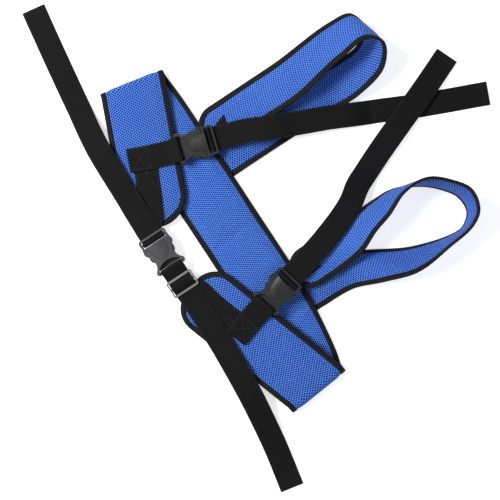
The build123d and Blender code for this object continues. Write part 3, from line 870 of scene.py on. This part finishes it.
def add_webbing(name, strip, seed, hems=(False, False)):
    """Webbing with soft round edges, hardly flat, and doubled where an end is hemmed."""
    half = webbing_width / 2
    thick = webbing_thick / 2
    rounded = [(half - 0.7, 0.92), (half - 0.2, 0.62), (half, 0.0)]
    section = [((webbing_width - 1.4) * (j / 10 - 0.5), 1.0) for j in range(1, 10)]
    section += rounded + [(v, -h) for v, h in rounded[1::-1]]
    section += [(-v, -h) for v, h in section]
    points = []
    flat = []
    for s, normal in zip(strip.places, strip.normals):
        top = 1 if normal[2] > 0 else -1
        doubled = max(
            (1 - ease(s, hem_depth - 1, hem_depth + 1)) * hems[0],
            ease(s, strip.length - hem_depth - 1, strip.length - hem_depth + 1) * hems[1],
        )
        waver = 0.12 * ripple(s + seed, 0, 70)
        for v, h in section:
            cup = 0.10 * ripple(s + seed, v, 55) + 0.10 * (v / half) ** 2
            hem = hem_thick * doubled * top if h * top > 0 else 0
            rise = thick * h + cup * 0.6 + waver * 0.3 + hem
            points.append(strip.lay(s, v * (1 + 0.004 * ripple(s + seed, 9, 21)), rise))
            flat.append((s, v))
    width = len(section)
    count = len(strip.places)
    faces = []
    for a in range(0, (count - 1) * width, width):
        for j in range(width):
            k = (j + 1) % width
            faces.append((a + j, a + k, a + width + k, a + width + j))
    faces.append(tuple(range(width - 1, -1, -1)))
    faces.append(tuple(range((count - 1) * width, count * width)))
    return add_mesh(name, points, faces, flat)


def ribbed_webbing():
    """Black webbing: close ribs across, each a row of slanting yarns, with a plain selvedge."""
    cloth = Finish("ribbed_webbing", Specular_IOR_Level=0.09, Sheen_Weight=0.01, Sheen_Roughness=0.45)
    u, v = cloth.pattern()
    fuzz = cloth.noise(0.004, 2)
    rib_pitch = 0.0016
    yarn_pitch = 0.0011
    rib = ((u / rib_pitch + 0.25 * fuzz) * (2 * pi)).sine() * 0.5 + 0.5
    slant = (v / (2 * yarn_pitch)).part() - 0.5
    yarn = ((v / yarn_pitch + u / rib_pitch * 0.5 + abs(slant)) * (2 * pi)).sine() * 0.5 + 0.5
    selvedge = abs(v).step(0.0168, 0.0176)
    weave = rib * 0.6 + yarn * 0.4
    cloudy = cloth.noise(0.05, 3)
    ground = cloth.mix(cloudy, (0.0035, 0.0035, 0.0038, 1), (0.0065, 0.0065, 0.007, 1))
    raised = cloth.mix(weave * 0.7, ground, (0.014, 0.014, 0.015, 1))
    colour = cloth.mix(selvedge * 0.35, raised, (0.020, 0.020, 0.021, 1))
    relief = weave * (1 - 0.5 * selvedge) + 0.3 * selvedge
    return cloth.finish(
        Base_Color=colour, Roughness=0.60 + 0.22 * (1 - weave), Normal=cloth.bump(relief, 0.00035)
    )


webbing_finish = ribbed_webbing()


def strap(name, points, across, body, seed, nodes, hems=(False, False)):
    """One length of webbing: its lie, its mesh, its finish and what it stands for."""
    strip = webbing_strip(points, across)
    piece = add_webbing(name, strip, seed, hems)
    dress(piece, [webbing_finish], body, nodes)
    return piece, strip


def to_frame(point):
    return tuple(np.array(point) / 1000 + np.array(belt_centre))


def feeding_in(place):
    """From just outside the end bar, under it, and up to the gripping bar."""
    steps = [(end_x, under), (slot_in_x + 1.4, under), (slot_in_x, under + 1.2)]
    return [place.at(x, 0, z) for x, z in steps + [(slot_in_x, frame_low + 0.6)]]


def coming_out(place):
    """Over the gripping bar, down and out under the end bar."""
    steps = [(slot_in_x, frame_low + 1.0), (slot_in_x + 0.5, over_grip - 0.6)]
    steps += [(grip_bar_x + 0.6, over_grip), (grip_bar_x + 2.6, over_grip)]
    steps += [(slot_out_x - 0.4, over_grip - 0.9), (slot_out_x + 0.5, second + 0.9)]
    steps += [(end_bar_x + 0.4, second), (end_x + 1, second)]
    return [place.at(x, 0, z) for x, z in steps]


def round_the_bar(place):
    """Half a turn round the female's bar, in from below and out on top."""
    turns = [radians(30 * k - 90) for k in range(7)]
    loop = [(loop_bar[0] + loop_radius * cos(a), loop_bar[1] + loop_radius * sin(a)) for a in turns]
    loop.append((loop_bar[0] - 5, loop_bar[1] + loop_radius - 0.8))
    return [place.at(x, 0, z) for x, z in loop]


def free_end(place, route):
    """The free end's points, from the gripping bar and along a route beyond the buckle."""
    start = place.at(end_x, 0, second)
    return coming_out(place) + [(start[0] + x, start[1] + y, z) for x, y, z in route]


sewn_on = belt_foam / 2 + 1.1 + 0.25 + webbing_thick / 2
over_binding = belt_level + 0.25 + webbing_thick / 2
left_top = left_front.origin[2] + belt_level

# The wearer's left waist strap is sewn on the flap and grips in the male waist buckle.
left_sewn = [
    left_front.at(106, -1, sewn_on),
    left_front.at(flap_left - 34, -5.5, sewn_on),
    left_front.at(flap_left - 21, -7, over_binding),
]
waist_left, waist_left_strip = strap(
    "waist_strap_left_webbing",
    left_sewn + [waist_buckle.at(end_x + 4, 0, under)] + feeding_in(waist_buckle),
    left_front.y, None, 0, ["waist_strap_left"],
)
waist_blend = (to_frame(left_front.at(130, -4, sewn_on)), to_frame(waist_buckle.at(end_x, 0, under)))
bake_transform(waist_left)

high = left_top + crown + 0.3 + webbing_thick + 0.5
_, waist_left_end_strip = strap(
    "waist_tail_left_webbing",
    free_end(waist_buckle, [
        (-8, 0.2, high), (-41, 1.2, high - 0.3), (-68, 2.4, high), (-158, 5.6, high), (-191, 8.6, 11),
        (-229, 13.6, floor_lay), (-311, 25.6, floor_lay), (-401, 39.8, floor_lay),
    ]),
    waist_buckle.y, "waist_male", 90, ["waist_tail_left"], hems=(False, True),
)

# The right waist strap goes through the slide, round the female's bar, back through the
# slide over itself and on as a long free end.
slider_low, slider_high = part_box("waist_slider")
slider_x, waist_y, _ = ((slider_low + slider_high) / 2 - belt_centre) * 1000
slider_top = (slider_high - belt_centre)[2] * 1000
slider_level = slider_top - 2.5
lower = slider_level - webbing_thick * 1.5 - 0.5
crest = slider_level + 0.2 + webbing_thick / 2 + 0.3
slider_reach = 13.75
wave = [(slider_reach + 1, lower), (slider_reach - 4, lower), (2.4, crest), (-2.4, crest)]
wave += [(4 - slider_reach, lower), (-slider_reach - 1, lower)]
through = [(slider_x + x, waist_y, z) for x, z in wave]
over_bar = (slider_x, waist_y, crest)
lap_over = webbing_thick + 0.2
back_through = [(slider_x + x, waist_y, z + lap_over) for x, z in wave[::-1]]
sink = sin(radians(2))      # the flap falls this much for its length
right_top = right_front.origin[2] + belt_level
right_high = right_top - flap_right * sink + crown + 0.3 + webbing_thick
right_sewn = [
    right_front.at(127, 0, sewn_on),
    right_front.at(flap_right - 28, -1, sewn_on),
    right_front.at(flap_right - 16, -2, over_binding),
]
right_run = [
    (12, waist_y + 0.5, right_high + 12 * sink), (95, waist_y - 0.4, right_high + 100 * sink),
    (196, waist_y - 7.2, right_high + 208 * sink), (226, waist_y - 11.6, 16),
    (286, waist_y - 21.4, floor_lay), (350, waist_y - 34.2, floor_lay),
]
over_both = (slider_x, waist_y, crest + lap_over)
# It is made as three lengths that meet over the slide's bar.
waist_right, waist_right_strip = strap(
    "waist_strap_right_webbing", right_sewn + through[:3] + [over_bar],
    -right_front.y, None, 200, ["waist_strap_right"],
)
waist_loop, _ = strap(
    "waist_loop_right_webbing",
    [over_bar] + through[3:] + round_the_bar(waist_buckle) + back_through[:3] + [over_both],
    -right_front.y, None, 240, ["waist_strap_right"],
)
waist_end, waist_end_strip = strap(
    "waist_tail_right_webbing", [over_both] + back_through[3:] + right_run,
    right_front.y, None, 280, ["waist_strap_right"], hems=(False, True),
)
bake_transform(waist_right)
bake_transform(waist_end)
to_frame(waist_buckle.at(loop_bar[0] - 4, 0, crest))
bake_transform(waist_loop)

# Each leg's female half hangs on a short anchor strap, looped round its bar and sewn to the
# flap through both layers, and its male half grips a strap sewn to the leg pad's end.
anchor_low = loop_bar[1] - loop_radius
leg_places = {"left": left_buckle, "right": right_buckle}
anchor_back = {"left": -77.0, "right": -66.0}
anchor_aside = {"left": 5.0, "right": -3.0}
cut_end = {"left": (-181, belt_edge + 35, 0.9), "right": (63, belt_edge + 34, 0.4)}
leg_top = leg_end_height + leg_level + 0.1 + webbing_thick / 2
left_tail_level = left_buckle.origin[2] + second
right_tail_level = right_buckle.origin[2] + second
hump = 5 * webbing_thick
leg_routes = {
    "left": [
        (4, 12, left_tail_level + 0.3), (14, 42, left_tail_level + 3.6),
        (33, 80, left_tail_level + 9.5), (49, 118, 23.5), (70, 168, 18), (87, 204, 13),
        (97.4, 229.4, floor_lay), (130, 297.6, floor_lay), (174, 399.7, floor_lay),
    ],
    "right": [
        (-5, 20, right_tail_level), (-20.5, 78, right_tail_level), (-43.5, 138, right_tail_level - 4),
        (-61, 165, 13), (-71, 188, 6), (-84, 218, hump), (-136.5, 352, hump), (-155, 397, floor_lay),
    ],
}
anchor_strips = {}
leg_strap_strips = {}
tail_strips = {"waist": waist_left_end_strip}
for side, place in leg_places.items():
    back = anchor_back[side]
    aside = anchor_aside[side]
    points = [place.at(back, aside, anchor_low), place.at(back / 2, aside / 4, anchor_low)]
    points += round_the_bar(place)
    points += [
        place.at(-13, 0, anchor_low + lap_over + 0.3),
        place.at(back / 2, aside / 4, anchor_low + lap_over),
        place.at(back, aside, anchor_low + lap_over),
    ]
    _, anchor_strips[side] = strap(
        f"{side}_leg_anchor_webbing", points, place.y, "belt", 330,
        [f"{side}_leg_anchor_strap"],
    )
    near = place.at(end_x + 7, 0, under)
    cut_x, cut_y, above = cut_end[side]
    route = [(cut_x, cut_y, leg_top + above), (near[0], near[1] + 4, leg_top)]
    leg_strap, leg_strap_strips[side] = strap(
        f"{side}_leg_strap_webbing", route + feeding_in(place), -place.y, None, 410,
        [f"{side}_leg_strap"],
    )
    to_frame(place.at(end_x - 6, 0, under))
    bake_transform(leg_strap)
    _, tail_strips[side] = strap(
        f"{side}_leg_tail_webbing", free_end(place, leg_routes[side]), place.y,
        f"{side}_leg_male", 520, [f"{side}_leg_tail"], hems=(False, True),
    )

# ---- Buckles and slide -----------------------------------------------------------------
# Injection-moulded acetal, spark-eroded to a fine satin. The shields are smoother from the
# thumb, and the waist hardware is the lighter of two blacks. A thin floor closes the arched
# mouth of each shell, between the looped webbing and the arch. Every floor is in the leg
# buckles' black, which on the waist buckle is painted shade in the mouth.


def moulded_acetal(name, dark, light, sheen_rough):
    """Moulded plastic: a fine even texture, faint flow clouding and a few rubbed places."""
    acetal = Finish(name, IOR=1.46, Specular_IOR_Level=0.45)
    grit = acetal.noise(0.0007, 2)
    cloud = acetal.noise(0.018, 3)
    rubbed = acetal.noise(0.03, 4).step(0.50, 0.72)
    colour = acetal.mix(cloud, dark, light)
    rough = sheen_rough + 0.12 * grit - 0.10 * rubbed
    return acetal.finish(
        Base_Color=colour, Roughness=rough, Coat_Weight=0.12 * rubbed,
        Normal=acetal.bump(grit, 0.00006),
    )


waist_plastic = moulded_acetal("waist_acetal", (0.04, 0.04, 0.043, 1), (0.055, 0.055, 0.058, 1), 0.36)
slide_plastic = moulded_acetal("slide_acetal", (0.16, 0.16, 0.16, 1), (0.2, 0.2, 0.2, 1), 0.34)
leg_plastic = moulded_acetal("leg_acetal", (0.012, 0.012, 0.0125, 1), (0.018, 0.018, 0.0185, 1), 0.36)
for name, node in frame["nodes"].items():
    if name == "waist_slider":
        plastic = slide_plastic
    elif name.endswith(("buckle", "arm")):
        plastic = waist_plastic if name.startswith("waist") else leg_plastic
    else:
        continue
    if not node.data.materials:
        node.data.materials.append(plastic)
    for holder in node.material_slots:
        holder.material = plastic


def mouth_floor_and_shade(name, place):
    """A thin plate between the bar and the arch of a female half, low in its mouth.
    Its black leg plastic is painted shade on the waist buckle, whose own plastic is lighter.
    """
    arch_x, arch_half, bar_side = 16.6, 20.4, 7.6
    steps = 16
    sides = [arch_half * (2 * k / steps - 1) for k in range(steps + 1)]
    arch = [(bar_side + (arch_x - bar_side) * (1 - (v / arch_half) ** 2) + 0.6, v) for v in sides]
    outline = arch + [(bar_side - 0.3, v) for v in sides[::-1]]
    points = [place.at(x, y, z) for z in (0.4, 1.4) for x, y in outline]
    count = len(outline)
    faces = []
    for a in range(steps):
        b = 2 * steps + 1 - a
        faces.append((a, b, b - 1, a + 1))
        faces.append((count + a, count + a + 1, count + b - 1, count + b))
    for a in range(count):
        b = (a + 1) % count
        faces.append((a, b, count + b, count + a))
    piece = add_mesh(name, points, faces)
    for polygon in piece.data.polygons:
        polygon.use_smooth = False
    # The leg plastic goes on every plate: on the waist buckle this black is painted shade.
    dress(piece, [leg_plastic], "belt")


for name, place in (("waist", waist_buckle), ("left_leg", left_buckle), ("right_leg", right_buckle)):
    mouth_floor_and_shade(f"{name}_mouth_floor_and_shade", place)

# ---- Stitching -------------------------------------------------------------------------
# Heavy bonded thread: a box with a cross where webbing is sewn to a flap or a leg pad, two
# rows through each hem, and a row across the pad where its three layers are tacked.
thread_radius = 0.28
# Along a stitch: how far it has gone, its height over the cloth and its share of the radius.
stitch_rings = ((0, -0.1, 0.5), (0.2, 0.28, 0.9), (0.5, 0.34, 1.0), (0.8, 0.28, 0.9), (1, -0.1, 0.5))


def black_thread(name, colour):
    thread = Finish(name, Sheen_Weight=0.2)
    ply_twist = thread.noise(0.0006, 1, stretch=(1, 3, 1))
    shade = thread.mix(ply_twist, colour, tuple(1.8 * c for c in colour[:3]) + (1,))
    return thread.finish(Base_Color=shade, Roughness=0.55, Normal=thread.bump(ply_twist, 0.0001))


def sew(name, lines, pitch, thread, body=None):
    """Stitches along lines. A line is a strip, its height and its corners in the flat cut."""
    points = []
    faces = []
    sides = 6
    for strip, height, corners in lines:
        for (s0, v0), (s1, v1) in zip(corners, corners[1:]):
            run = hypot(s1 - s0, v1 - v0)
            count = max(1, round(run / pitch))
            for k in range(count):
                starts, ends = [
                    (s0 + (s1 - s0) * t, v0 + (v1 - v0) * t)
                    for t in ((k + 0.12) / count, (k + 0.88) / count)
                ]
                a = strip.lay(*starts, height - 0.15)
                b = strip.lay(*ends, height - 0.15)
                normal = strip.lay(*starts, height + 1) - strip.lay(*starts, height)
                flank = unit(np.cross(unit(b - a), normal))
                first = len(points)
                for t, lift, fat in stitch_rings:
                    middle = a + (b - a) * t + normal * lift
                    for j in range(sides):
                        turn = 2 * pi * j / sides
                        points.append(middle + (flank * cos(turn) + normal * sin(turn))
                                      * thread_radius * fat)
                for ring in range(4):
                    for j in range(sides):
                        p, q = first + ring * sides, first + (ring + 1) * sides
                        j2 = (j + 1) % sides
                        faces.append((p + j, q + j, q + j2, p + j2))
                faces.append(tuple(first + j for j in range(sides)))
                faces.append(tuple(first + 4 * sides + j for j in range(sides - 1, -1, -1)))
    piece = add_mesh(name, points, faces)
    dress(piece, [thread], body)
    return piece


def box_and_cross(s0, s1, reach):
    return [(s0, -reach), (s1, -reach), (s1, reach), (s0, reach), (s0, -reach), (s1, reach),
            (s1, -reach), (s0, reach)]


strap_thread = black_thread("strap_thread", (0.006, 0.006, 0.006, 1))
on_top = webbing_thick / 2 + 0.05
box_reach = 15.5


def upper_face(strip, row, extra=0.0):
    """Height of the webbing's upper face at a row, which is its back where it is turned over."""
    return (on_top + extra) * (1 if strip.normals[row][2] > 0 else -1)


for side, strip in anchor_strips.items():
    sewn = [(strip, on_top, box_and_cross(strip.length - 33, strip.length - 4, box_reach))]
    sew(f"{side}_anchor_stitching", sewn, 3.0, strap_thread, "belt")
for side, strip in leg_strap_strips.items():
    sewn = [(strip, upper_face(strip, 0), box_and_cross(3.5, 24, box_reach))]
    leg_box = sew(f"{side}_leg_strap_stitching", sewn, 3.0, strap_thread)
    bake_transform(leg_box)
sewn = [(waist_left_strip, upper_face(waist_left_strip, 0), box_and_cross(5, 62, box_reach))]
left_box = sew("waist_left_stitching", sewn, 3.0, strap_thread)
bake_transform(left_box)
sewn = [(waist_right_strip, upper_face(waist_right_strip, 0), box_and_cross(5, 70, box_reach))]
sew("waist_right_stitching", sewn, 3.0, strap_thread, "belt")
tail_strips["right_waist"] = waist_end_strip
hem_of = {"waist": "waist_male", "left": "left_leg_male", "right": "right_leg_male",
          "right_waist": "belt"}
for side, strip in tail_strips.items():
    ends = [strip.length - gap for gap in (3, 9)]
    rows = [(strip, upper_face(strip, -1, hem_thick), [(s, -17), (s, 17)]) for s in ends]
    sew(f"{side}_hem_stitching", rows, 2.8, strap_thread, hem_of[side])

# Two rows tack the back panel's layers together, across its middle and beside the right leg.
tack_rows = [
    (belt, -tack_depth - 0.15, [(place - slant * tack_reach, -tack_reach),
                                (place + slant * tack_reach, tack_reach)])
    for place, slant in zip(tack_s, tack_slant)
]
pad_thread = black_thread("pad_thread", (0.002, 0.003, 0.015, 1))
sew("panel_tacking", tack_rows, 3.4, pad_thread, "belt")
